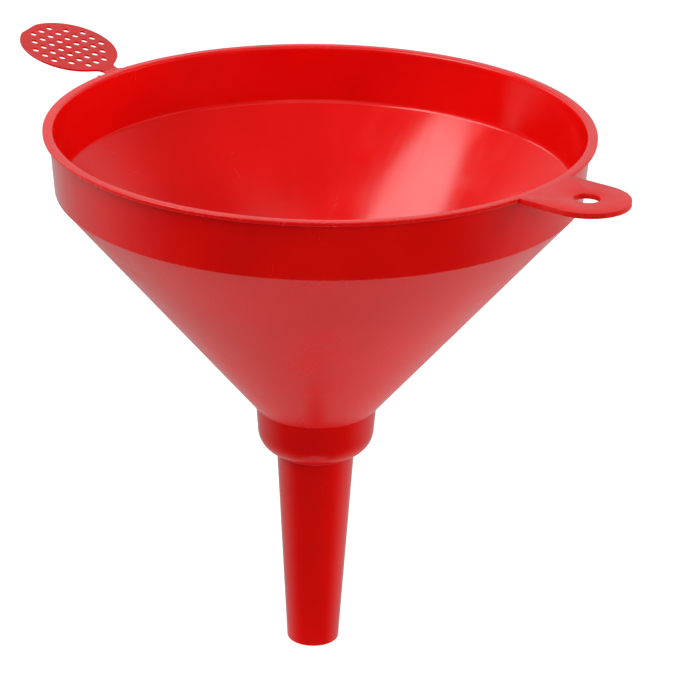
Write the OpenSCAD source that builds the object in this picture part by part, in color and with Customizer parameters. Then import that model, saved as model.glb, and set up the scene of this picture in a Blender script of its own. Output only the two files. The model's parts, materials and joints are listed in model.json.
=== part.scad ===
// Large moulded fuel funnel: a lipped bowl, a cone, a collar and a tapered spout,
// with a hanging lug on one side and a strainer disc on a thin neck on the other.
// The origin is on the axis at the spout's tip. +Z is up and +X points at the lug.

/* [Rim] */
// Outside diameter of the rim lip
rim_d = 250; // [240:0.5:260]
// Thickness of the lip
lip_t = 1.9; // [1.5:0.1:3]
// Radius of the lip's rounded inner edge
lip_round = 1.3; // [0.5:0.1:1.4]
// Radius of the lip's rounded outer edges
lip_edge = 0.5; // [0.2:0.1:0.7]

/* [Band] */
// Outside diameter of the band just under the lip
band_top_d = 244.1; // [242:0.1:246]
// Outside diameter of the band at its foot
band_foot_d = 239.9; // [239.9:0.1:242]
// Height from the band's foot to the top of the lip
band_h = 27.9; // [20:0.1:40]
// Radius of the band's rounded foot edge
band_edge = 0.2; // [0.1:0.1:0.2]

/* [Cone] */
// Outside diameter of the cone under the band's foot
cone_top_d = 239.5; // [237:0.1:239.5]
// Outside diameter of the cone where it meets the collar
cone_foot_d = 56.2; // [54.6:0.1:60]
// Height of the cone
cone_h = 108.8; // [80:0.1:130]

/* [Collar] */
// Outside diameter of the collar above its rounded corner
collar_d = 54.4; // [50:0.1:54.4]
// Height of the collar
collar_h = 22.7; // [18:0.1:35]
// Radius of the collar's rounded lower corner
collar_corner = 11.7; // [11:0.1:13]

/* [Spout] */
// Length of the spout
spout_len = 98.5; // [60:0.1:150]
// Outside diameter of the spout under the collar
spout_top_d = 36.3; // [33:0.1:40]
// Outside diameter of the spout at its tip
spout_tip_d = 24.4; // [18:0.1:30]
// Radius of the tip's rounded outer edge
tip_edge = 0.9; // [0.3:0.1:1.2]

/* [Wall] */
// Thickness of the moulded wall
wall = 1.8; // [1.2:0.1:2]

/* [Hanging lug] */
// Width of the lug
lug_w = 38.4; // [30:0.1:46]
// Thickness of the lug
lug_t = 2.5; // [1.9:0.1:3]
// Distance from the axis to the centre of the lug's rounded end
lug_reach = 145; // [140:0.5:155]
// Diameter of the hanging hole
hole_d = 11.8; // [8:0.1:16]

/* [Strainer] */
// Diameter of the strainer disc
disc_d = 47; // [40:0.1:48]
// Thickness of the strainer disc
disc_t = 1; // [0.8:0.1:2]
// Distance from the disc's centre to the flat on its far edge
disc_flat = 22.6; // [20:0.1:22.9]
// Turn of the flat away from the neck's line
disc_flat_turn = 10; // [0:1:20]
// Diameter of the strainer holes
mesh_hole_d = 3.3; // [2:0.1:4]
// Spacing of the strainer holes
mesh_pitch = 5.8; // [5:0.1:6]
// Rise of the strainer disc from the rim's plane
disc_rise = 14.5; // [0:0.5:30]
// Turn of the strainer to one side, as its neck was left by handling
disc_skew = 2.8; // [0:0.1:4]

/* [Neck] */
// Width of the strainer's neck
neck_w = 9; // [6:0.5:12]
// Thickness of the neck
neck_t = 1; // [0.6:0.1:1.4]
// Clear space on each side of the neck's bending line
neck_gap = 0.8; // [0.7:0.1:0.9]
// Distance from the bending line to the disc's nearest edge
neck_len = 3.1; // [2.5:0.1:4]
// Radius where the neck widens into the disc
neck_flare = 3; // [2:0.1:4]

/* [Hidden] */
red = [0.78, 0.06, 0.05];
// How far one solid is drawn into or past another
lap = 1;
round_fn = 180;
fine_fn = 720;
small_fn = 24;
bore_fn = 64;

rim_r = rim_d / 2;
band_top_r = band_top_d / 2;
band_foot_r = band_foot_d / 2;
cone_top_r = cone_top_d / 2;
cone_foot_r = cone_foot_d / 2;
collar_r = collar_d / 2;
spout_top_r = spout_top_d / 2;
spout_tip_r = spout_tip_d / 2;
disc_r = disc_d / 2;

// Heights of the joins, from the tip up
z_collar = spout_len;
z_cone = z_collar + collar_h;
z_band = z_cone + cone_h;
z_rim = z_band + band_h;
z_lip = z_rim - lip_t;
z_lug = z_rim - lug_t;

// The cone's wall measured level, and the height at which the inner cone meets the inner band
cone_slope = (cone_top_r - cone_foot_r) / cone_h;
band_slope = (band_top_r - band_foot_r) / (z_lip - z_band);
cone_wall = wall * sqrt(1 + cone_slope * cone_slope);
band_join = (band_foot_r - wall - cone_top_r + cone_wall) / (cone_slope - band_slope);
collar_join = (cone_wall - wall) / cone_slope;

// The collar's rounded corner is an arc about this point, down to the spout
corner_r = collar_r - collar_corner;
corner_end = acos((spout_top_r - corner_r) / collar_corner);
corner_inner_end = acos((spout_top_r - wall - corner_r) / (collar_corner - wall));
z_corner = z_collar + collar_corner * sin(corner_end);

// The neck bends about a line across the neck, just outside the lip
hinge_x = -(rim_r + neck_gap * 2);
hinge_z = z_rim - neck_t / 2;
disc_reach = neck_len + disc_r;
// Holes lie on a square grid, in the places up to this many spacings from the centre
mesh_reach = 3.2;
mesh_rings = floor(mesh_reach);

// A small nib left by the moulding gate, beside the neck
nib_turn = 184.5;
nib_d = 1.6;
nib_out = 1.3;

function arc(x, z, r, a0, a1, steps = 6) =
    [for (i = [0:steps]) let (a = a0 + (a1 - a0) * i / steps) [x + r * cos(a), z + r * sin(a)]];

module lathe(outline) {
    rotate_extrude($fn = round_fn) polygon(outline);
}

module rim_lip() {
    inner_r = band_top_r - wall;
    color(red) union() {
        lathe(concat(
            [[inner_r, z_lip]],
            arc(inner_r + lip_round, z_rim - lip_round, lip_round, 180, 90),
            arc(rim_r - lip_edge, z_rim - lip_edge, lip_edge, 90, 0, 3),
            arc(rim_r - lip_edge, z_lip + lip_edge, lip_edge, 0, -90, 3)));
        rotate([0, 0, nib_turn])
            translate([rim_r - lap, 0, z_lip + lip_t / 2])
                rotate([0, 90, 0])
                    cylinder(h = lap + nib_out, d = nib_d, $fn = small_fn);
    }
}

module rim_band() {
    edge_r = band_foot_r + band_slope * band_edge - band_edge;
    color(red) lathe(concat(
        [[band_top_r - wall, z_lip],
         [band_foot_r - wall + band_slope * band_join, z_band + band_join],
         [cone_top_r - cone_wall, z_band],
         [edge_r, z_band]],
        arc(edge_r, z_band + band_edge, band_edge, -90, 0, 4),
        [[band_top_r, z_lip]]));
}

module cone() {
    color(red) lathe([
        [cone_foot_r, z_cone],
        [cone_top_r, z_band],
        [cone_top_r - cone_wall, z_band],
        [cone_foot_r - wall, z_cone + collar_join],
        [cone_foot_r - wall, z_cone]]);
}

module collar() {
    color(red) lathe(concat(
        [[cone_foot_r - wall, z_cone], [cone_foot_r, z_cone]],
        arc(corner_r, z_corner, collar_corner, 0, -corner_end, 10),
        [[spout_top_r - wall, z_collar]],
        arc(corner_r, z_corner, collar_corner - wall, -corner_inner_end, 0, 10)));
}

module spout() {
    color(red) lathe(concat(
        [[spout_top_r - wall, z_collar], [spout_tip_r - wall, 0]],
        arc(spout_tip_r - tip_edge, tip_edge, tip_edge, -90, 0, 4),
        [[spout_top_r, z_collar]]));
}

module hanging_lug() {
    inner_x = rim_r - 10 * lap;
    color(red) difference() {
        translate([0, 0, z_lug]) union() {
            translate([inner_x, -lug_w / 2, 0]) cube([lug_reach - inner_x, lug_w, lug_t]);
            translate([lug_reach, 0, 0]) cylinder(h = lug_t, d = lug_w, $fn = round_fn);
        }
        translate([0, 0, z_lug - lap]) cylinder(h = lug_t + 2 * lap, r = rim_r, $fn = round_fn);
        translate([lug_reach, 0, z_lug - lap]) cylinder(h = lug_t + 2 * lap, d = hole_d, $fn = bore_fn);
    }
}

// Places its children on the raised strainer, with -X along the neck and the bending line at x = 0
module on_strainer() {
    translate([hinge_x, 0, hinge_z]) rotate([0, disc_rise, disc_skew]) children();
}

module neck_root() {
    color(red) difference() {
        translate([-rim_r - neck_gap, -neck_w / 2, z_rim - neck_t])
            cube([neck_gap + 2 * lap, neck_w, neck_t]);
        translate([0, 0, z_lip - lap]) cylinder(h = lip_t + 2 * lap, r = rim_r, $fn = fine_fn);
    }
}

// Outline of the outer neck, from the bending line out, widening into the disc
module neck_outline() {
    side = neck_w / 2;
    flare_x = neck_gap + lap;
    flare = arc(flare_x, side + neck_flare, neck_flare, -90, -10);
    mirrored = [for (i = [len(flare) - 1:-1:0]) [flare[i][0], -flare[i][1]]];
    polygon(concat([[neck_gap, side]], flare, mirrored, [[neck_gap, -side]]));
}

module neck_tip() {
    color(red) on_strainer() difference() {
        mirror([1, 0, 0]) translate([0, 0, -neck_t / 2])
            linear_extrude(neck_t) neck_outline();
        translate([-disc_reach, 0, -disc_t]) cylinder(h = disc_t * 2, r = disc_r, $fn = round_fn);
    }
}

module strainer_disc() {
    color(red) on_strainer() translate([-disc_reach, 0, neck_t / 2 - disc_t]) difference() {
        cylinder(h = disc_t, r = disc_r, $fn = round_fn);
        rotate([0, 0, disc_flat_turn])
            translate([-disc_flat - disc_r, -disc_r, -lap])
                cube([disc_r, disc_d, disc_t + 2 * lap]);
        for (i = [-mesh_rings:mesh_rings], j = [-mesh_rings:mesh_rings])
            if (norm([i, j]) < mesh_reach)
                translate([i * mesh_pitch, j * mesh_pitch, -lap])
                    cylinder(h = disc_t + 2 * lap, d = mesh_hole_d, $fn = small_fn);
    }
}

rim_lip();
rim_band();
cone();
collar();
spout();
hanging_lug();
neck_root();
neck_tip();
strainer_disc();
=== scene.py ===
import json
import math

import bmesh
import bpy
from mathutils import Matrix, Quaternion, Vector


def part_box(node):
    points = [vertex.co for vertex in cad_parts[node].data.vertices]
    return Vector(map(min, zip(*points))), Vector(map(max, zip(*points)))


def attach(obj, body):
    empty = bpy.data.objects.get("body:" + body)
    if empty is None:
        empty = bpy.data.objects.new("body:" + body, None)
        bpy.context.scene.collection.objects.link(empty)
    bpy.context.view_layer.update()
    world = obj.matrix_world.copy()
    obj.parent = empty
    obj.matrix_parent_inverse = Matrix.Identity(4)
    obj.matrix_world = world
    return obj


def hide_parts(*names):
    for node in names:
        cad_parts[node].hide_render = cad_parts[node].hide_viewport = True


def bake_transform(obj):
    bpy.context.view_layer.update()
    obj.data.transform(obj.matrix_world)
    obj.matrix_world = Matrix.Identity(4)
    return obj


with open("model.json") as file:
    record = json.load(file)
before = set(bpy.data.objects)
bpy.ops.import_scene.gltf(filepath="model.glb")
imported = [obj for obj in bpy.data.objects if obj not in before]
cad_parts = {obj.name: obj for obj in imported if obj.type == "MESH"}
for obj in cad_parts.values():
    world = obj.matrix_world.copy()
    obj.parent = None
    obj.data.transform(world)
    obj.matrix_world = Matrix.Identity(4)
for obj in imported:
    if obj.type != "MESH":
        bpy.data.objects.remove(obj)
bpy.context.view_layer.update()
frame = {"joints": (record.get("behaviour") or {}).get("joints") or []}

# Where the moulding's parts lie: lowest and highest corners of each
spoutLow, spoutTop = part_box("spout")
collarLow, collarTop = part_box("collar")
coneLow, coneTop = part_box("cone")
bandLow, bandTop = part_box("rim_band")
lipLow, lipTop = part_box("rim_lip")
lugLow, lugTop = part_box("hanging_lug")
bendLine = Vector(frame["joints"][0]["pos_m"])

# What the whole moulding shares, in metres
moulding = {
    "wall": 0.0018,
    "turns": 192,  # steps round the axis
    "tuck": 0.0002,  # how far one part reaches inside the next
    "smoothAngle": math.radians(32),
}

cameraSet = {
    "azimuth": math.radians(38.2),  # from the -Y side, towards the lug
    "elevation": math.radians(22.34),
    "distance": 1.5,
    "lens": 171.61,
    "aimBelowRim": 0.1,
    "panLeft": math.radians(0.403),
    "tiltDown": math.radians(0.149),
    "roll": math.radians(0.869),
}


def aroundCamera(azimuthDegrees, elevationDegrees, distance, aim):
    # Azimuth 0 is the camera's side, and positive is to its right
    a = cameraSet["azimuth"] + math.radians(azimuthDegrees)
    e = math.radians(elevationDegrees)
    return aim + distance * Vector((math.sin(a) * math.cos(e), -math.cos(a) * math.cos(e), math.sin(e)))


def addCamera():
    s = cameraSet
    aim = Vector((0, 0, lipTop.z - s["aimBelowRim"]))
    eye = aroundCamera(0, math.degrees(s["elevation"]), s["distance"], aim)
    bpy.ops.object.camera_add(location=eye)
    camera = bpy.context.object
    camera.name = "camera"
    camera.data.lens = s["lens"]
    turn = (aim - eye).to_track_quat("-Z", "Y")
    turn = turn @ Quaternion((0, 1, 0), -s["panLeft"]) @ Quaternion((1, 0, 0), -s["tiltDown"])
    camera.rotation_mode = "QUATERNION"
    camera.rotation_quaternion = turn @ Quaternion((0, 0, 1), s["roll"])
    bpy.context.scene.camera = camera


def deselectAll():
    if bpy.context.object and bpy.context.object.mode != "OBJECT":
        bpy.ops.object.mode_set(mode="OBJECT")
    bpy.ops.object.select_all(action="DESELECT")


def pickPoints(piece, wanted):
    # Selects the points that the test wants, with the edges and faces between them
    bpy.ops.object.mode_set(mode="EDIT")
    bpy.ops.mesh.select_mode(type="VERT")
    bpy.ops.mesh.select_all(action="DESELECT")
    shape = bmesh.from_edit_mesh(piece.data)
    for point in shape.verts:
        point.select = wanted(point.co)
    shape.select_flush(True)
    bmesh.update_edit_mesh(piece.data)


def applyModifier(piece, kind, **settings):
    bpy.context.view_layer.objects.active = piece
    made = piece.modifiers.new(kind.lower(), kind)
    for key, value in settings.items():
        setattr(made, key, value)
    bpy.ops.object.modifier_apply(modifier=made.name)


def softEdges(piece, width, segments=2):
    applyModifier(piece, "BEVEL", width=width, segments=segments, limit_method="ANGLE",
                  angle_limit=moulding["smoothAngle"])


def arcPoints(centre, radius, startDegrees, endDegrees, steps):
    points = []
    for i in range(steps + 1):
        a = math.radians(startDegrees + (endDegrees - startDegrees) * i / steps)
        points.append(Vector((centre[0] + radius * math.cos(a), centre[1] + radius * math.sin(a))))
    return points


def roundCorner(before, corner, after, radius, steps):
    # An arc of that radius which touches both sides of the corner
    u = (before - corner).normalized()
    v = (after - corner).normalized()
    half = u.angle(v) / 2
    centre = corner + (u + v).normalized() * (radius / math.sin(half))
    start = corner + u * (radius / math.tan(half)) - centre
    end = corner + v * (radius / math.tan(half)) - centre
    return [centre + start.slerp(end, i / steps).normalized() * radius for i in range(steps + 1)]


def roundedOutline(corners, steps=5):
    # Corners are (distance from the axis, height, rounding)
    spots = [Vector(c[:2]) for c in corners]
    points = []
    for i, (r, z, rounding) in enumerate(corners):
        if rounding:
            after = spots[(i + 1) % len(spots)]
            points += roundCorner(spots[i - 1], spots[i], after, rounding, steps)
        else:
            points.append(spots[i])
    return points


def turnOnAxis(name, outline):
    # A single point is drawn out along the outline, and the outline is spun into a solid
    deselectAll()
    first = outline[0]
    bpy.ops.mesh.primitive_plane_add(size=0.001, location=(first.x, 0, first.y))
    piece = bpy.context.object
    piece.name = piece.data.name = name
    bpy.ops.object.transform_apply(location=True, rotation=True, scale=True)
    bpy.ops.object.mode_set(mode="EDIT")
    bpy.ops.mesh.select_mode(type="VERT")
    bpy.ops.mesh.merge(type="CENTER")
    here = first
    for spot in outline[1:] + [first]:
        step = spot - here
        bpy.ops.mesh.extrude_region_move(TRANSFORM_OT_translate={"value": (step.x, 0, step.y)})
        here = spot
    bpy.ops.mesh.select_all(action="SELECT")
    bpy.ops.mesh.spin(steps=moulding["turns"], angle=2 * math.pi, center=(0, 0, 0), axis=(0, 0, 1))
    bpy.ops.mesh.select_all(action="SELECT")
    bpy.ops.mesh.remove_doubles(threshold=0.000004)
    bpy.ops.mesh.normals_make_consistent(inside=False)
    bpy.ops.object.mode_set(mode="OBJECT")
    return piece


def settle(piece, slot, *finishes):
    # Origin at the frame's origin, smooth faces, and its own finishes
    deselectAll()
    piece.select_set(True)
    bpy.context.view_layer.objects.active = piece
    bpy.ops.object.transform_apply(location=True, rotation=True, scale=True)
    bpy.ops.object.shade_smooth_by_angle(angle=moulding["smoothAngle"])
    piece.data.materials.clear()
    for finish in finishes:
        piece.data.materials.append(finish)


addCamera()
print("camera placed")

# Every finish drifts between two reds and between two values of gloss, under marks from mould and use
plastic = {
    "cloudScale": 14.0,
    "handlingScale": 55.0,
    "peelScale": 420.0,
    "peelHeight": 0.000018,  # a faint orange peel
    "refraction": 1.5,
}


def addNode(tree, kind, inputs=None, **settings):
    made = tree.nodes.new(kind)
    for key, value in settings.items():
        setattr(made, key, value)
    for key, value in (inputs or {}).items():
        if isinstance(value, bpy.types.NodeSocket):
            tree.links.new(value, made.inputs[key])
        else:
            made.inputs[key].default_value = value
    return made


def sums(tree, operation, *values):
    return addNode(tree, "ShaderNodeMath", dict(enumerate(values)), operation=operation).outputs[0]


def fade(tree, value, low, high, toLow=0.0, toHigh=1.0):
    # Runs smoothly from toLow to toHigh while the value runs from low to high
    inputs = {"Value": value, "From Min": low, "From Max": high, "To Min": toLow, "To Max": toHigh}
    return addNode(tree, "ShaderNodeMapRange", inputs, interpolation_type="SMOOTHSTEP").outputs["Result"]


def noise(tree, vector, scale, detail=3.0, roughness=0.5):
    inputs = {"Vector": vector, "Scale": scale, "Detail": detail, "Roughness": roughness}
    return addNode(tree, "ShaderNodeTexNoise", inputs).outputs["Fac"]


def roundTheAxis(tree, place, along, around):
    # A place whose first two values are a direction round the axis and whose third is the height
    parts = addNode(tree, "ShaderNodeSeparateXYZ", {0: place}).outputs
    flat = addNode(tree, "ShaderNodeCombineXYZ", {"X": parts["X"], "Y": parts["Y"]}).outputs[0]
    facing = addNode(tree, "ShaderNodeVectorMath", {0: flat}, operation="NORMALIZE").outputs[0]
    inputs = {0: facing, "Scale": around}
    turned = addNode(tree, "ShaderNodeVectorMath", inputs, operation="SCALE").outputs[0]
    height = sums(tree, "MULTIPLY", parts["Z"], along)
    raised = addNode(tree, "ShaderNodeCombineXYZ", {"Z": height}).outputs[0]
    return addNode(tree, "ShaderNodeVectorMath", {0: turned, 1: raised}, operation="ADD").outputs[0]


scuff = {
    "turns": ((0.5, 0.2, 0.4), (-0.3, 0.9, -0.7)),
    "stretches": ((900, 40, 60), (60, 800, 40)),
    "seeds": ((0, 0, 0), (3, 1, 2)),
    "crest": (0.68, 0.74),  # the part of the noise that counts as a scratch
    "patchScale": 28.0,
    "patch": (0.48, 0.62),
    "roughness": 0.25,
    "depth": 0.00001,
}


def scratches(tree, place, turn, stretch, seed):
    # Thin marks in one direction: noise drawn out long, with only its crests kept
    inputs = {"Vector": place, "Location": seed, "Rotation": turn, "Scale": stretch}
    laid = addNode(tree, "ShaderNodeMapping", inputs).outputs[0]
    crest = fade(tree, noise(tree, laid, 1.0, 2.0), *scuff["crest"])
    patch = fade(tree, noise(tree, place, scuff["patchScale"], 1.0), *scuff["patch"])
    return sums(tree, "MULTIPLY", crest, patch)


def blendColours(tree, amount, first, second):
    mix = addNode(tree, "ShaderNodeMix", data_type="RGBA")
    tree.links.new(amount, mix.inputs["Factor"])
    for socket, colour in ((mix.inputs[6], first), (mix.inputs[7], second)):
        if isinstance(colour, bpy.types.NodeSocket):
            tree.links.new(colour, socket)
        else:
            socket.default_value = colour + (1,)
    return mix.outputs[2]


def startFinish(name, look):
    # The shared plastic: a red that drifts, gloss that drifts with handling, and a faint orange peel
    finish = bpy.data.materials.new(name)
    finish.use_nodes = True
    tree = finish.node_tree
    tree.nodes.clear()
    place = addNode(tree, "ShaderNodeTexCoord").outputs["Object"]
    cloud = fade(tree, noise(tree, place, plastic["cloudScale"], 4.0), 0.35, 0.65)
    handled = noise(tree, place, plastic["handlingScale"], 5.0, 0.6)
    peel = noise(tree, place, plastic["peelScale"], 2.0)
    parts = {"tree": tree, "place": place}
    parts["colour"] = blendColours(tree, cloud, look["deepRed"], look["red"])
    parts["gloss"] = fade(tree, handled, 0.35, 0.68, *look["gloss"])
    parts["relief"] = sums(tree, "MULTIPLY", peel, plastic["peelHeight"])
    return finish, parts


def tint(parts, amount, colour):
    # Lays a second colour over the first where the amount is high
    parts["colour"] = blendColours(parts["tree"], amount, parts["colour"], colour)


def dull(parts, amount, extra):
    # Roughens the surface where the amount is high
    tree = parts["tree"]
    parts["gloss"] = sums(tree, "ADD", parts["gloss"], sums(tree, "MULTIPLY", amount, extra))


def raiseRelief(parts, height, metres):
    # Adds to the relief, which is kept in metres
    tree = parts["tree"]
    parts["relief"] = sums(tree, "ADD", parts["relief"], sums(tree, "MULTIPLY", height, metres))


def endFinish(parts):
    tree = parts["tree"]
    inputs = {"Height": parts["relief"], "Strength": 1.0, "Distance": 1.0}
    bump = addNode(tree, "ShaderNodeBump", inputs)
    inputs = {"Base Color": parts["colour"], "Roughness": parts["gloss"], "Normal": bump.outputs[0]}
    shader = addNode(tree, "ShaderNodeBsdfPrincipled", inputs)
    shader.inputs["IOR"].default_value = plastic["refraction"]
    out = addNode(tree, "ShaderNodeOutputMaterial", {"Surface": shader.outputs[0]})
    out.is_active_output = True


def heightOf(parts):
    return addNode(parts["tree"], "ShaderNodeSeparateXYZ", {0: parts["place"]}).outputs["Z"]


def radiusOf(parts):
    tree = parts["tree"]
    flat = addNode(tree, "ShaderNodeVectorMath", {0: parts["place"], 1: (1, 1, 0)}, operation="MULTIPLY")
    return addNode(tree, "ShaderNodeVectorMath", {0: flat.outputs[0]}, operation="LENGTH").outputs["Value"]


def addScuffs(parts, share):
    # Two crossing sets of fine scratches that dull the gloss and catch the light
    tree = parts["tree"]
    both = []
    for turn, stretch, seed in zip(scuff["turns"], scuff["stretches"], scuff["seeds"]):
        both.append(scratches(tree, parts["place"], turn, stretch, seed))
    marks = sums(tree, "MAXIMUM", *both)
    dull(parts, marks, scuff["roughness"] * share)
    raiseRelief(parts, marks, -scuff["depth"] * share)


wear = {
    "grain": 300.0,
    "broken": (0.45, 0.75),
    "roughness": 0.15,
    "paleShare": 0.2,
    "paleRed": (0.85, 0.10, 0.08),
}


def wearEdge(parts, amount, share):
    # A broken, paler line where an edge has been knocked and rubbed
    tree = parts["tree"]
    broken = fade(tree, noise(tree, parts["place"], wear["grain"], 4.0, 0.7), *wear["broken"])
    worn = sums(tree, "MULTIPLY", amount, broken)
    dull(parts, worn, wear["roughness"] * share)
    tint(parts, sums(tree, "MULTIPLY", worn, wear["paleShare"] * share), wear["paleRed"])


# Spreads are how fast a pattern changes along the axis and round it, and reliefs are heights in metres
bandLook = {
    "red": (0.80, 0.0026, 0.0016),
    "deepRed": (0.70, 0.0020, 0.0013),
    "gloss": (0.10, 0.17),
    "drawSpread": (6.0, 24.0),
    "drawRelief": 0.00006,
    "footWornFrom": 0.0010,
    "footWornTo": 0.0003,
    "scuffs": 0.5,
}


def bandFinish():
    # Upright draw lines, from where the mould slid off
    s = bandLook
    finish, parts = startFinish("bandRed", s)
    tree = parts["tree"]
    draw = noise(tree, roundTheAxis(tree, parts["place"], *s["drawSpread"]), 1.0, 3.0)
    raiseRelief(parts, draw, s["drawRelief"])
    foot = fade(tree, heightOf(parts), bandLow.z + s["footWornFrom"], bandLow.z + s["footWornTo"])
    wearEdge(parts, foot, 1.0)
    addScuffs(parts, s["scuffs"])
    endFinish(parts)
    return finish


coneLook = {
    "red": (0.78, 0.0030, 0.0022),
    "deepRed": (0.70, 0.0026, 0.0020),
    "gloss": (0.20, 0.27),
    "ringSpread": (900.0, 0.6),
    "ringRelief": 0.00001,
    "blotchScale": 30.0,
    "blotchRoughness": 0.05,
    "scuffs": 1.0,
}


def coneFinish():
    s = coneLook
    finish, parts = startFinish("coneRed", s)
    tree = parts["tree"]
    rings = noise(tree, roundTheAxis(tree, parts["place"], *s["ringSpread"]), 1.0, 2.0)
    blotches = fade(tree, noise(tree, parts["place"], s["blotchScale"], 4.0, 0.65), 0.5, 0.72)
    dull(parts, blotches, s["blotchRoughness"])
    raiseRelief(parts, rings, s["ringRelief"])
    addScuffs(parts, s["scuffs"])
    endFinish(parts)
    return finish


# The bowl's reds are lighter than the band's: painted light, standing in for light that bounces round
# inside the bowl.
bowlLook = {
    "red": (0.84, 0.0026, 0.0016),
    "deepRed": (0.76, 0.0022, 0.0014),
    "gloss": (0.13, 0.20),
    "ringSpread": (1500.0, 0.8),
    "ringRelief": 0.000012,
    "fanSpread": (3.0, 14.0),
    "fanRelief": 0.00005,
    "fanRoughness": 0.05,
    "scuffs": 0.4,
}


def bowlFinish():
    # The mould's core was turned, so fine rings run round the inside
    s = bowlLook
    finish, parts = startFinish("bowlRed", s)
    tree = parts["tree"]
    rings = noise(tree, roundTheAxis(tree, parts["place"], *s["ringSpread"]), 1.0, 2.0)
    fans = noise(tree, roundTheAxis(tree, parts["place"], *s["fanSpread"]), 1.0, 4.0, 0.6)
    raiseRelief(parts, rings, s["ringRelief"])
    raiseRelief(parts, fans, s["fanRelief"])
    dull(parts, fade(tree, fans, 0.5, 0.7), s["fanRoughness"])
    addScuffs(parts, s["scuffs"])
    endFinish(parts)
    return finish


# The spout's and collar's reds are darker than the band's: painted shade, standing in for the shade under
# the cone.
spoutLook = {
    "red": (0.74, 0.0026, 0.0016),
    "deepRed": (0.64, 0.0020, 0.0013),
    "gloss": (0.13, 0.20),
    "drawSpread": (10.0, 9.0),
    "drawRelief": 0.00002,
    "tipWornFrom": 0.003,
    "tipWornTo": 0.0005,
    "scuffs": 0.8,
}


def spoutFinish():
    s = spoutLook
    finish, parts = startFinish("spoutRed", s)
    tree = parts["tree"]
    draw = noise(tree, roundTheAxis(tree, parts["place"], *s["drawSpread"]), 1.0, 4.0, 0.6)
    raiseRelief(parts, draw, s["drawRelief"])
    tip = fade(tree, heightOf(parts), s["tipWornFrom"], s["tipWornTo"])
    wearEdge(parts, tip, 1.0)
    addScuffs(parts, s["scuffs"])
    endFinish(parts)
    return finish


# The lip's reds are lighter than the band's: painted light, standing in for the light that falls on its
# upward-facing top.
lipLook = {
    "red": (0.84, 0.0040, 0.0030),
    "deepRed": (0.76, 0.0030, 0.0022),
    "gloss": (0.18, 0.28),
    "edgeWornFrom": 0.0006,
    "edgeWornTo": 0.0001,
    "edgeWear": 0.4,
    "scuffs": 0.8,
}


def lipFinish():
    s = lipLook
    finish, parts = startFinish("lipRed", s)
    outer = fade(parts["tree"], radiusOf(parts), lipTop.x - s["edgeWornFrom"], lipTop.x - s["edgeWornTo"])
    wearEdge(parts, outer, s["edgeWear"])
    addScuffs(parts, s["scuffs"])
    endFinish(parts)
    return finish


lugLook = {
    "red": (0.78, 0.0060, 0.0045),
    "deepRed": (0.70, 0.0045, 0.0035),
    "gloss": (0.32, 0.42),
    "grainScale": 2600.0,
    "grainRelief": 0.00001,
    "holeWorn": (0.0078, 0.0058),  # distances from the hole's centre
    "endWorn": (0.0180, 0.0193),
    "scuffs": 0.8,
}


def lugFinish():
    # Spark-eroded mould faces leave a fine even grain
    s = lugLook
    finish, parts = startFinish("lugRed", s)
    tree = parts["tree"]
    raiseRelief(parts, noise(tree, parts["place"], s["grainScale"], 1.0), s["grainRelief"])
    centre = Vector((lugTop.x - lugTop.y, 0, lugTop.z))
    inputs = {0: parts["place"], 1: centre}
    fromHole = addNode(tree, "ShaderNodeVectorMath", inputs, operation="DISTANCE").outputs["Value"]
    hole = fade(tree, fromHole, *s["holeWorn"])
    outer = fade(tree, fromHole, *s["endWorn"])
    wearEdge(parts, sums(tree, "MAXIMUM", hole, outer), 1.0)
    addScuffs(parts, s["scuffs"])
    endFinish(parts)
    return finish


strainerLook = {
    "red": (0.66, 0.0060, 0.0045),
    "deepRed": (0.56, 0.0045, 0.0035),
    "gloss": (0.30, 0.42),
    "grainScale": 900.0,
    "grainRelief": 0.00001,
    "scuffs": 0.6,
    "bendWhite": (0.85, 0.22, 0.18),
    "bendWhiteShare": 0.45,
    "bendWhiteFrom": 0.0016,  # distances from the bending line
    "bendWhiteTo": 0.0002,
}


def strainerFinish():
    s = strainerLook
    finish, parts = startFinish("strainerRed", s)
    raiseRelief(parts, noise(parts["tree"], parts["place"], s["grainScale"], 3.0), s["grainRelief"])
    addScuffs(parts, s["scuffs"])
    endFinish(parts)
    return finish


def neckFinish():
    # Bending has whitened the plastic along the thin line
    s = strainerLook
    finish, parts = startFinish("neckRed", s)
    tree = parts["tree"]
    across = addNode(tree, "ShaderNodeSeparateXYZ", {0: parts["place"]}).outputs["X"]
    away = sums(tree, "ABSOLUTE", sums(tree, "SUBTRACT", across, bendLine.x))
    stress = fade(tree, away, s["bendWhiteFrom"], s["bendWhiteTo"])
    grain = fade(tree, noise(tree, parts["place"], s["grainScale"], 3.0), 0.3, 0.7)
    amount = sums(tree, "MULTIPLY", sums(tree, "MULTIPLY", stress, grain), s["bendWhiteShare"])
    tint(parts, amount, s["bendWhite"])
    endFinish(parts)
    return finish


finishes = {
    "band": bandFinish(),
    "cone": coneFinish(),
    "bowl": bowlFinish(),
    "spout": spoutFinish(),
    "lip": lipFinish(),
    "lug": lugFinish(),
    "strainer": strainerFinish(),
    "neck": neckFinish(),
}
print("finishes mixed")

lip = {"bore": bandTop.x - moulding["wall"], "innerRound": 0.0013, "outerRound": 0.0005}


def rimLip():
    s = lip
    piece = turnOnAxis("rimLip", roundedOutline([
        (s["bore"], lipLow.z, 0),
        (s["bore"], lipTop.z, s["innerRound"]),
        (lipTop.x, lipTop.z, s["outerRound"]),
        (lipTop.x, lipLow.z, s["outerRound"]),
    ]))
    settle(piece, "gloss_red", finishes["lip"])
    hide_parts("rim_lip")
    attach(piece, "funnel")


nib = {
    "turn": math.radians(184.5),
    "radius": 0.0008,
    "length": 0.0022,
    "standsOut": 0.0012,
    "bevel": 0.0003,
}


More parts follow.
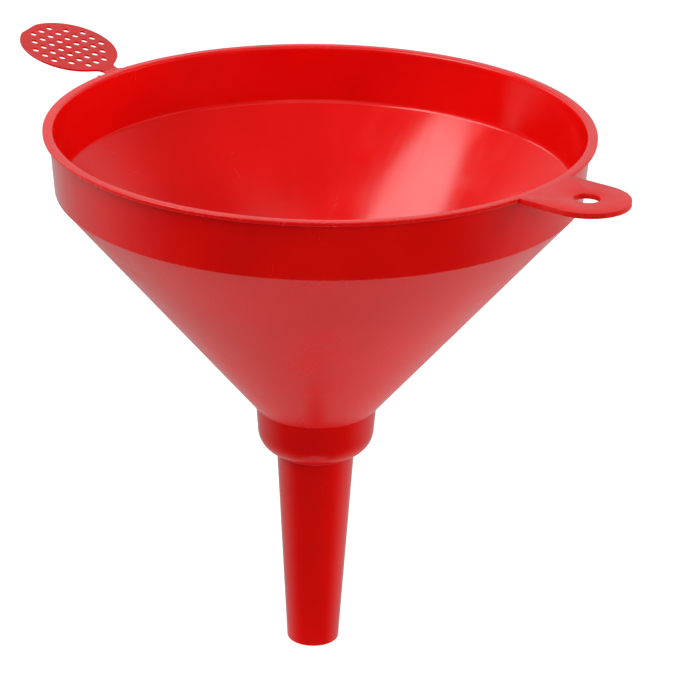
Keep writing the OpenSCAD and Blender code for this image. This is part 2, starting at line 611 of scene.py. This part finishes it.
def gateNib():
    # The stub that is left where the moulding was cut from its runner
    s = nib
    deselectAll()
    reach = lipTop.x + s["standsOut"] - s["length"] / 2
    place = (reach * math.cos(s["turn"]), reach * math.sin(s["turn"]), (lipLow.z + lipTop.z) / 2)
    turned = (0, math.pi / 2, s["turn"])
    bpy.ops.mesh.primitive_cylinder_add(
        vertices=20, radius=s["radius"], depth=s["length"], location=place, rotation=turned)
    piece = bpy.context.object
    piece.name = piece.data.name = "gateNib"
    bpy.ops.object.transform_apply(location=True, rotation=True, scale=True)
    softEdges(piece, s["bevel"])
    settle(piece, "gloss_red", finishes["lip"])
    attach(piece, "funnel")


coneSlope = (coneTop.x - collarTop.x) / (bandLow.z - coneLow.z)
coneWallAcross = moulding["wall"] * math.sqrt(1 + coneSlope * coneSlope)

band = {
    "footRadius": 0.11995,
    "footEdge": 0.0002,
    "underLip": 0.0007,
    "bowlCorner": 0.0039,
    "bowlFacing": 0.3,  # inner faces that look up more than this have the bowl's finish
}


def rimBand():
    s = band
    tuck = moulding["tuck"]
    bandSlope = (bandTop.x - s["footRadius"]) / (lipLow.z - bandLow.z)
    footBore = s["footRadius"] - moulding["wall"]
    coneBore = coneTop.x - coneWallAcross
    rise = (footBore - coneBore) / (coneSlope - bandSlope)
    piece = turnOnAxis("rimBand", roundedOutline([
        (lip["bore"], lipLow.z, 0),
        (footBore + bandSlope * rise, bandLow.z + rise, s["bowlCorner"]),
        (coneBore, bandLow.z, 0),
        (s["footRadius"], bandLow.z, s["footEdge"]),
        (bandTop.x, lipLow.z, s["underLip"]),
        (bandTop.x + s["underLip"], lipLow.z, 0),
        (bandTop.x + s["underLip"], lipLow.z + tuck, 0),
        (lip["bore"] + tuck, lipLow.z + tuck, 0),
    ]))
    settle(piece, "gloss_red", finishes["band"], finishes["bowl"])
    for face in piece.data.polygons:
        inward = face.normal.x * face.center.x + face.normal.y * face.center.y < 0
        face.material_index = 1 if inward and face.normal.z > s["bowlFacing"] else 0
    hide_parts("rim_band")
    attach(piece, "funnel")


cone = {"boreRound": 0.0015}


def coneWall():
    s = cone
    tuck = moulding["tuck"]
    bore = collarTop.x - moulding["wall"]
    mouth = coneTop.x - coneWallAcross
    throat = coneLow.z + (coneWallAcross - moulding["wall"]) / coneSlope
    piece = turnOnAxis("coneWall", roundedOutline([
        (collarTop.x, coneLow.z, 0),
        (coneTop.x, bandLow.z, 0),
        (coneTop.x - 2 * tuck, bandLow.z + tuck, 0),
        (mouth + 2 * tuck, bandLow.z + tuck, 0),
        (mouth, bandLow.z, 0),
        (bore, throat, s["boreRound"]),
        (bore, coneLow.z, 0),
    ]))
    settle(piece, "satin_red", finishes["cone"], finishes["bowl"])
    for face in piece.data.polygons:
        inward = face.normal.x * face.center.x + face.normal.y * face.center.y < 0
        face.material_index = 1 if inward else 0
    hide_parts("cone")
    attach(piece, "funnel")


collar = {"radius": 0.0272, "corner": 0.0117, "cornerSteps": 14}


def collarCup():
    s = collar
    wall = moulding["wall"]
    middle = s["radius"] - s["corner"]
    last = math.degrees(math.acos((spoutTop.x - middle) / s["corner"]))
    innerLast = math.degrees(math.acos((spoutTop.x - wall - middle) / (s["corner"] - wall)))
    centre = (middle, collarLow.z + s["corner"] * math.sin(math.radians(last)))
    outline = [Vector((collarTop.x - wall, coneLow.z)), Vector((collarTop.x, coneLow.z))]
    outline += arcPoints(centre, s["corner"], 0, -last, s["cornerSteps"])
    outline.append(Vector((spoutTop.x - wall, collarLow.z)))
    outline += arcPoints(centre, s["corner"] - wall, -innerLast, 0, s["cornerSteps"])
    piece = turnOnAxis("collarCup", outline)
    settle(piece, "gloss_red", finishes["spout"])
    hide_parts("collar")
    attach(piece, "funnel")


spout = {
    "tipRadius": 0.0122,
    "tipEdge": 0.0009,
    "boreEdge": 0.0004,
    "shoulder": 0.0015,
    "rootRadius": 0.0202,  # the spout widens into the underside of the collar
    "rootRise": 0.0007,
    "tuckRise": 0.0012,
}


def spoutTube():
    s = spout
    wall = moulding["wall"]
    piece = turnOnAxis("spoutTube", roundedOutline([
        (spoutTop.x - wall, collarLow.z, 0),
        (s["tipRadius"] - wall, spoutLow.z, s["boreEdge"]),
        (s["tipRadius"], spoutLow.z, s["tipEdge"]),
        (spoutTop.x, collarLow.z, s["shoulder"]),
        (s["rootRadius"], collarLow.z + s["rootRise"], 0),
        (s["rootRadius"], collarLow.z + s["tuckRise"], 0),
        (spoutTop.x - wall / 2, collarLow.z + s["tuckRise"], 0),
    ]))
    settle(piece, "gloss_red", finishes["spout"])
    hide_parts("spout")
    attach(piece, "funnel")


lug = {
    "hole": 0.0059,
    "steps": 96,
    "rootAt": 0.1225,  # how far from the axis the plate ends, inside the lip
    "bevel": 0.00025,
    "belowLip": 0.00004,
}


def hangingLug():
    # A round plate whose inner half is drawn back straight to the rim
    s = lug
    deselectAll()
    radius = lugTop.y
    centre = (lugTop.x - radius, 0, lugLow.z)
    bpy.ops.mesh.primitive_circle_add(
        vertices=s["steps"], radius=radius, location=centre, fill_type="NOTHING")
    piece = bpy.context.object
    piece.name = piece.data.name = "hangingLug"
    bpy.ops.object.transform_apply(location=True, rotation=True, scale=True)
    pickPoints(piece, lambda co: co.x < centre[0] - 0.0001)
    bpy.ops.transform.resize(value=(0, 1, 1), center_override=(s["rootAt"], 0, centre[2]))
    bpy.ops.mesh.select_all(action="DESELECT")
    bpy.ops.mesh.primitive_circle_add(
        vertices=s["steps"], radius=s["hole"], location=centre, fill_type="NOTHING")
    bpy.ops.mesh.select_all(action="SELECT")
    bpy.ops.mesh.bridge_edge_loops()
    bpy.ops.mesh.select_all(action="SELECT")
    thickness = lugTop.z - lugLow.z - s["belowLip"]
    bpy.ops.mesh.extrude_region_move(TRANSFORM_OT_translate={"value": (0, 0, thickness)})
    bpy.ops.mesh.select_all(action="SELECT")
    bpy.ops.mesh.normals_make_consistent(inside=False)
    bpy.ops.object.mode_set(mode="OBJECT")
    softEdges(piece, s["bevel"])
    settle(piece, "satin_red", finishes["lug"])
    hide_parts("hanging_lug")
    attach(piece, "funnel")


strainer = {
    "radius": 0.0235,
    "thickness": 0.001,
    "rise": math.radians(14.5),
    "skew": math.radians(2.8),  # to one side, about the vertical
    "neckLength": 0.0031,
    "neckThickness": 0.001,
    "flatAt": 0.0226,
    "flatTurn": math.radians(10),
    "hole": 0.00165,
    "pinSides": 24,
    "pinLength": 0.006,
    "rimSteps": 144,
    "pitch": 0.0058,
    "reach": 3.2,  # holes lie within this many pitches of the centre
    "bevel": 0.00012,
}


def strainerHoles(centre):
    # One pin for each hole, joined into a single cutter
    s = strainer
    pins = []
    span = range(-int(s["reach"]), int(s["reach"]) + 1)
    for i in span:
        for j in span:
            if math.hypot(i, j) < s["reach"]:
                place = centre + Vector((i, j, 0)) * s["pitch"]
                bpy.ops.mesh.primitive_cylinder_add(
                    vertices=s["pinSides"], radius=s["hole"], depth=s["pinLength"], location=place)
                pins.append(bpy.context.object)
    for pin in pins:
        pin.select_set(True)
    bpy.ops.object.join()
    return bpy.context.object


def strainerDisc():
    s = strainer
    deselectAll()
    centre = Vector((-s["neckLength"] - s["radius"], 0, 0))
    base = centre + Vector((0, 0, s["neckThickness"] / 2 - s["thickness"]))
    bpy.ops.mesh.primitive_circle_add(
        vertices=s["rimSteps"], radius=s["radius"], location=base, fill_type="NGON")
    piece = bpy.context.object
    piece.name = piece.data.name = "strainerDisc"
    bpy.ops.object.transform_apply(location=True, rotation=True, scale=True)
    bpy.ops.object.mode_set(mode="EDIT")
    bpy.ops.mesh.select_all(action="SELECT")
    outward = Vector((-math.cos(s["flatTurn"]), -math.sin(s["flatTurn"]), 0))
    bpy.ops.mesh.bisect(plane_co=base + outward * s["flatAt"], plane_no=outward, clear_outer=True)
    bpy.ops.mesh.select_all(action="SELECT")
    bpy.ops.mesh.extrude_region_move(TRANSFORM_OT_translate={"value": (0, 0, s["thickness"])})
    bpy.ops.mesh.select_all(action="SELECT")
    bpy.ops.mesh.normals_make_consistent(inside=False)
    deselectAll()
    cutter = strainerHoles(centre)
    deselectAll()
    applyModifier(piece, "BOOLEAN", operation="DIFFERENCE", solver="EXACT", object=cutter)
    bpy.data.objects.remove(cutter, do_unlink=True)
    softEdges(piece, s["bevel"], 1)
    piece.rotation_euler = (0, s["rise"], s["skew"])
    piece.location = bendLine
    settle(piece, "satin_red", finishes["strainer"])
    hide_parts("strainer_disc")
    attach(piece, "strainer")


neck = {
    "width": 0.009,
    "from": 0.0026,  # inside the lip, from the bending line
    "to": -0.0048,  # inside the disc
    "cuts": 26,
    "thin": 0.35,  # share of the thickness that is gone along the bending line
    "bendZone": 0.0012,
    "flareFrom": -0.0012,
    "flare": 0.0042,
    "rootFlare": 0.0022,
    "bevel": 0.0002,
    "belowFace": 0.00005,
}


def strainerNeck():
    # A flat strip that widens into the rim and the disc, thinned and bent along the line between them
    s = neck
    deselectAll()
    length = s["from"] - s["to"]
    height = strainer["neckThickness"] - s["belowFace"]
    middle = bendLine + Vector(((s["from"] + s["to"]) / 2, 0, -s["belowFace"] / 2))
    bpy.ops.mesh.primitive_cube_add(size=1, location=middle, scale=(length, s["width"], height))
    piece = bpy.context.object
    piece.name = piece.data.name = "strainerNeck"
    bpy.ops.object.transform_apply(location=True, rotation=True, scale=True)
    bpy.ops.object.mode_set(mode="EDIT")
    bpy.ops.mesh.select_all(action="SELECT")
    bpy.ops.mesh.subdivide(number_cuts=s["cuts"])
    step = length / (s["cuts"] + 1)
    for i in range(s["cuts"] + 2):
        across = s["from"] - step * i
        x = bendLine.x + across
        pickPoints(piece, lambda co: abs(co.x - x) < step / 4)
        outer = max(0, (s["flareFrom"] - across) / (s["flareFrom"] - s["to"]))
        inner = max(0, across / s["from"])
        widen = (s["width"] + 2 * s["flare"] * outer ** 2 + 2 * s["rootFlare"] * inner ** 2) / s["width"]
        near = max(0, 1 - (across / s["bendZone"]) ** 2)
        thinner = 1 - s["thin"] * near
        bpy.ops.transform.resize(value=(1, widen, thinner), center_override=(x, 0, bendLine.z))
    # With no window the rotate operator turns the other way, so each turn is negative
    for i in range(s["cuts"] + 2):
        across = s["from"] - step * i
        x = bendLine.x + across
        bent = min(1, max(0, 0.5 - across / s["bendZone"] / 2))
        if bent > 0:
            pickPoints(piece, lambda co: abs(co.x - x) < step / 4)
            turn = strainer["rise"] * bent
            bpy.ops.transform.rotate(value=-turn, orient_axis="Y", center_override=bendLine)
    pickPoints(piece, lambda co: co.x < bendLine.x - s["bendZone"])
    bpy.ops.transform.rotate(value=-strainer["skew"], orient_axis="Z", center_override=bendLine)
    deselectAll()
    softEdges(piece, s["bevel"])
    settle(piece, "satin_red", finishes["neck"])
    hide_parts("neck_root", "neck_tip")
    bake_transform(piece)


for makePiece in (rimLip, gateNib, rimBand, coneWall, collarCup, spoutTube):
    makePiece()
print("moulding turned")
hangingLug()
strainerDisc()
strainerNeck()
print("lug, strainer and neck made")

studio = {
    "frontGlow": 0.05,
    "backGlow": 0.47,
    "skyGlow": 0.14,
    "skyBackGlow": 0.62,
    "lowTurn": (0.45, -0.45),  # from facing the camera to facing away, low down
    "skyTurn": (-0.25, -0.85),
    "horizon": (-0.05, 0.2),
    "floorWhite": 0.95,
    "floorGrey": (0.30, 0.30, 0.30, 1),
    "floorSpread": 4.0,
    "wattsForGlow": 4,  # for an area light of one square metre
}


def studioRoom():
    # White all round behind the object and darker towards the camera, as in an open-fronted tent
    s = studio
    world = bpy.data.worlds.new("studioRoom")
    bpy.context.scene.world = world
    world.use_nodes = True
    tree = world.node_tree
    tree.nodes.clear()
    direction = addNode(tree, "ShaderNodeTexCoord").outputs["Generated"]
    front = aroundCamera(0, 0, 1, Vector((0, 0, 0)))
    toFront = addNode(tree, "ShaderNodeVectorMath", {0: direction, 1: front}, operation="DOT_PRODUCT")
    toFront = toFront.outputs["Value"]
    height = addNode(tree, "ShaderNodeSeparateXYZ", {0: direction}).outputs["Z"]
    low = fade(tree, toFront, *s["lowTurn"], s["frontGlow"], s["backGlow"])
    high = fade(tree, toFront, *s["skyTurn"], s["skyGlow"], s["skyBackGlow"])
    rise = fade(tree, height, *s["horizon"])
    glow = sums(tree, "ADD", low, sums(tree, "MULTIPLY", rise, sums(tree, "SUBTRACT", high, low)))
    room = addNode(tree, "ShaderNodeBackground", {"Color": (1, 1, 1, 1), "Strength": glow})
    white = addNode(tree, "ShaderNodeBackground", {"Color": (1, 1, 1, 1), "Strength": 1.0})
    seen = addNode(tree, "ShaderNodeLightPath").outputs["Is Camera Ray"]
    both = addNode(tree, "ShaderNodeMixShader", {0: seen, 1: room.outputs[0], 2: white.outputs[0]})
    addNode(tree, "ShaderNodeOutputWorld", {"Surface": both.outputs[0]})


def floorPaint():
    # Glowing white card that only the camera sees, so that the room lights the object from below
    s = studio
    paint = bpy.data.materials.new("floorCard")
    paint.use_nodes = True
    tree = paint.node_tree
    tree.nodes.clear()
    card = addNode(tree, "ShaderNodeBsdfDiffuse", {"Color": s["floorGrey"]})
    glow = addNode(tree, "ShaderNodeEmission", {"Color": (1, 1, 1, 1), "Strength": s["floorWhite"]})
    white = addNode(tree, "ShaderNodeAddShader", {0: card.outputs[0], 1: glow.outputs[0]})
    clear = addNode(tree, "ShaderNodeBsdfTransparent")
    seen = addNode(tree, "ShaderNodeLightPath").outputs["Is Camera Ray"]
    both = addNode(tree, "ShaderNodeMixShader", {0: seen, 1: clear.outputs[0], 2: white.outputs[0]})
    addNode(tree, "ShaderNodeOutputMaterial", {"Surface": both.outputs[0]})
    return paint


def studioFloor():
    deselectAll()
    bpy.ops.mesh.primitive_plane_add(size=2 * studio["floorSpread"], location=(0, 0, spoutLow.z))
    floor = bpy.context.object
    floor.name = floor.data.name = "studioFloor"
    floor.data.materials.append(floorPaint())
    bpy.ops.object.transform_apply(location=True, rotation=True, scale=True)


# Azimuth and elevation from the camera's side, distance, width, height, glow, and whether gloss shows it
softboxes = {
    "keyBox": (-77, 51, 3.0, 2.35, 1.80, 3.7, True),
    "sideBox": (-128, 24, 1.3, 0.50, 0.30, 1.6, True),
    "ceilingBox": (25, 62, 1.4, 1.50, 0.60, 0.36, True),
    "frontFill": (5, 32, 1.6, 1.20, 0.60, 2.6, False),
    "underFill": (0, -72, 1.2, 0.50, 0.50, 9.0, False),
    "leftFill": (-85, 5, 1.5, 1.20, 0.80, 1.1, False),
    "rightFill": (85, 12, 1.5, 1.20, 0.80, 3.8, False),
}


def addSoftboxes():
    aim = Vector((0, 0, coneTop.z))
    for name, (azimuth, elevation, distance, width, height, glow, mirrors) in softboxes.items():
        deselectAll()
        place = aroundCamera(azimuth, elevation, distance, aim)
        bpy.ops.object.light_add(type="AREA", location=place)
        lamp = bpy.context.object
        lamp.name = name
        lamp.rotation_euler = (aim - place).to_track_quat("-Z", "Y").to_euler()
        lamp.data.shape = "RECTANGLE"
        lamp.data.size = width
        lamp.data.size_y = height
        lamp.data.energy = studio["wattsForGlow"] * width * height * glow
        lamp.visible_camera = False
        lamp.visible_glossy = mirrors


studioRoom()
studioFloor()
addSoftboxes()
bpy.context.scene.view_settings.view_transform = "Standard"
print("studio lit")
